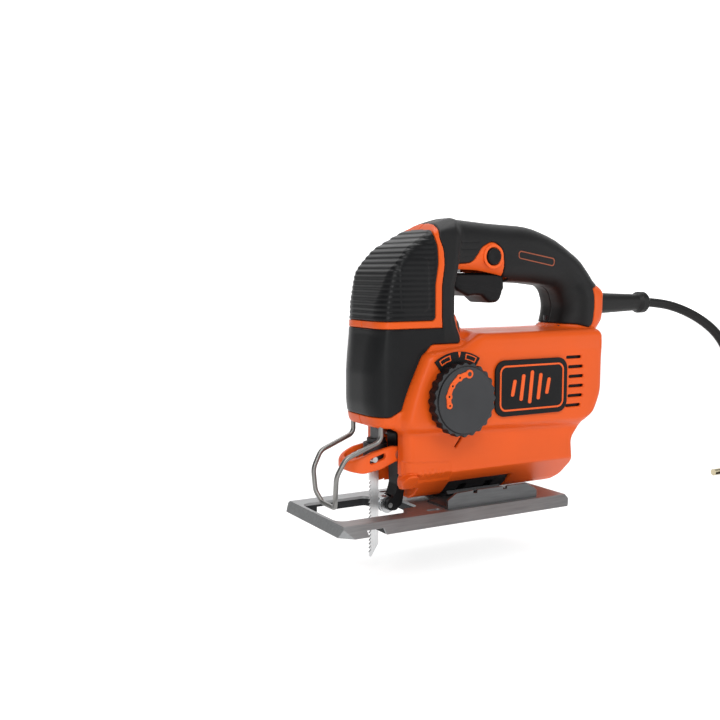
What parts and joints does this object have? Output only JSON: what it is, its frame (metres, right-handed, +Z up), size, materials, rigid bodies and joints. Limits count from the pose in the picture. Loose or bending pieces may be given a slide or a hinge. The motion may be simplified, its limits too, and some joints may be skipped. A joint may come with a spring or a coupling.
{
  "type": "jigsaw power tool",
  "caption": "Corded top-handle jigsaw with a loop handle, selector dial, wire finger guard, tool-free blade lever, reciprocating blade and tilting shoe.",
  "frame": {"origin": "on the flat sole of the shoe, in the tool's centre plane, 84 mm ahead of the shoe's rear end; the blade reaches below it", "axes": "-X is the cutting direction (blade end), +X the cord end, -Y the side with the selector dial, +Z up out of the work"},
  "size_m": [0.4116, 0.1316, 0.2098],
  "materials": {
    "orange_plastic": "satin moulded",
    "black_plastic": "satin moulded",
    "grip_rubber": "soft overmould, fine grain",
    "dial_plastic": "satin moulded",
    "button_orange": "satin moulded",
    "screw_steel": "zinc plated",
    "spring_steel": "drawn wire",
    "lamination_steel": "stacked sheet",
    "copper_wire": "enamelled copper",
    "ground_steel": "ground",
    "fan_plastic": "moulded",
    "carbon": "pressed carbon",
    "cast_aluminium": "die cast",
    "bronze": "sintered",
    "gear_steel": "hobbed",
    "felt": "felt",
    "blade_steel": "bright, set teeth",
    "guard_wire": "plated wire",
    "shoe_steel": "pressed, zinc plated",
    "controller_resin": "potted",
    "cord_rubber": "matt",
    "plug_plastic": "matt",
    "plug_metal": "nickel plated"
  },
  "bodies": {
    "housing": {"left_housing": "orange_plastic", "right_housing": "orange_plastic", "nose_cap": "black_plastic", "nose_lower_cover": "black_plastic", "left_handle_grip": "grip_rubber", "right_handle_grip": "grip_rubber", "housing_screws": "screw_steel", "side_plates": "black_plastic", "trigger_spring": "spring_steel", "lock_spring": "spring_steel", "trigger_switch": "black_plastic", "stator_core": "lamination_steel", "field_coils": "copper_wire", "front_bearing": "ground_steel", "rear_bearing": "ground_steel", "carbon_brushes": "carbon", "brush_holders": "black_plastic", "brush_springs": "spring_steel", "gear_case": "cast_aluminium", "gear_pin": "ground_steel", "lower_guide_bush": "bronze", "upper_guide_bush": "bronze", "plunger_seal": "felt", "lever_pivot_pins": "screw_steel", "lever_return_springs": "spring_steel", "roller_arm_pivot": "screw_steel", "finger_guard": "guard_wire", "bevel_saddle": "cast_aluminium", "dust_duct": "black_plastic", "cord_strain_relief": "cord_rubber", "cord_clamp": "black_plastic", "speed_controller": "controller_resin", "cord_tube": "cord_rubber", "cord_coil": "cord_rubber", "plug_body": "plug_plastic", "plug_pins": "plug_metal"},
    "trigger": {"trigger": "black_plastic"},
    "lock_button": {"lock_button": "button_orange"},
    "selector_dial": {"selector_dial": "dial_plastic"},
    "armature": {"armature_core": "lamination_steel", "armature_windings": "copper_wire", "commutator": "copper_wire", "armature_shaft": "ground_steel", "cooling_fan": "fan_plastic"},
    "drive_gear": {"drive_gear": "gear_steel", "crank_pin": "ground_steel"},
    "plunger": {"plunger_bar": "ground_steel", "scotch_yoke": "ground_steel", "blade_clamp": "ground_steel", "saw_blade": "blade_steel"},
    "blade_lever": {"blade_lever": "button_orange", "lever_release_pins": "screw_steel"},
    "roller_arm": {"roller_arm": "black_plastic", "roller_pin": "screw_steel"},
    "guide_roller": {"guide_roller": "ground_steel"},
    "shoe": {"shoe_plate": "shoe_steel", "shoe_sole": "black_plastic", "bevel_bracket": "shoe_steel", "bevel_screws": "screw_steel", "bevel_clamp_plate": "shoe_steel"}
  },
  "joints": [
    {"name": "trigger_pull", "type": "slide", "parent": "housing", "child": "trigger", "axis": [0, 0, 1], "range_m": [0, 0.004], "stiffness_N_per_m": 700, "springref_m": -0.005, "deforming": ["trigger_spring"]},
    {"name": "lock_press", "type": "slide", "parent": "housing", "child": "lock_button", "axis": [0, 1, 0], "range_m": [0, 0.003], "stiffness_N_per_m": 500, "springref_m": -0.003, "deforming": ["lock_spring"]},
    {"name": "selector_turn", "type": "hinge", "parent": "housing", "child": "selector_dial", "pos_m": [0.0022, -0.031, 0.0709], "axis": [0, -1, 0], "range_deg": [-120, 120]},
    {"name": "armature_spin", "type": "hinge", "parent": "housing", "child": "armature", "pos_m": [0.05, 0, 0.07], "axis": [1, 0, 0], "continuous": true},
    {"name": "gear_spin", "type": "hinge", "parent": "housing", "child": "drive_gear", "pos_m": [0, 0, 0.09004], "axis": [1, 0, 0], "continuous": true},
    {"name": "plunger_stroke", "type": "slide", "parent": "housing", "child": "plunger", "axis": [0, 0, 1], "range_m": [-0.009, 0.009]},
    {"name": "lever_lift", "type": "hinge", "parent": "housing", "child": "blade_lever", "pos_m": [-0.026, 0, 0.038], "axis": [0, 1, 0], "range_deg": [0, 30], "stiffness_Nm_per_rad": 0.05, "springref_deg": -14.32},
    {"name": "roller_arm_swing", "type": "hinge", "parent": "housing", "child": "roller_arm", "pos_m": [-0.021, 0, 0.047], "axis": [0, 1, 0], "range_deg": [-3, 0], "stiffness_Nm_per_rad": 0.15, "springref_deg": 5.73},
    {"name": "roller_spin", "type": "hinge", "parent": "roller_arm", "child": "guide_roller", "pos_m": [-0.0277, 0, 0.0059], "axis": [0, 1, 0], "continuous": true},
    {"name": "shoe_bevel", "type": "hinge", "parent": "housing", "child": "shoe", "pos_m": [0.03, 0, 0.022], "axis": [1, 0, 0], "range_deg": [-45, 45]}
  ],
  "couplings": [
    {"joint": "gear_spin", "follows": "armature_spin", "ratio": -0.31579}
  ]
}
